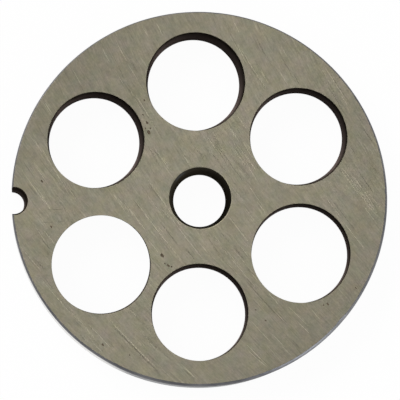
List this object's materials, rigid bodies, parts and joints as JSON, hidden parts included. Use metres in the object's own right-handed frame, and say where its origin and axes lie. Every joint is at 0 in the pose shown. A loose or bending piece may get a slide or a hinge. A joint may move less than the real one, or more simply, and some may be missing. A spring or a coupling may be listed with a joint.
{
  "type": "meat grinder plate",
  "caption": "Flat round grinder plate with a central bore, large feed holes on a pitch circle and a half-round key notch in the rim.",
  "frame": {"origin": "on the bore axis at the back face, which the plate lies on", "axes": "+Z along the bore from the back face to the cutting face; the key notch is on the -X side"},
  "size_m": [0.0699, 0.07, 0.008],
  "materials": {
    "plate_steel": "coarse ground faces, dark walls in the holes"
  },
  "bodies": {
    "root": {"grinder_plate": "plate_steel"}
  },
  "joints": []
}
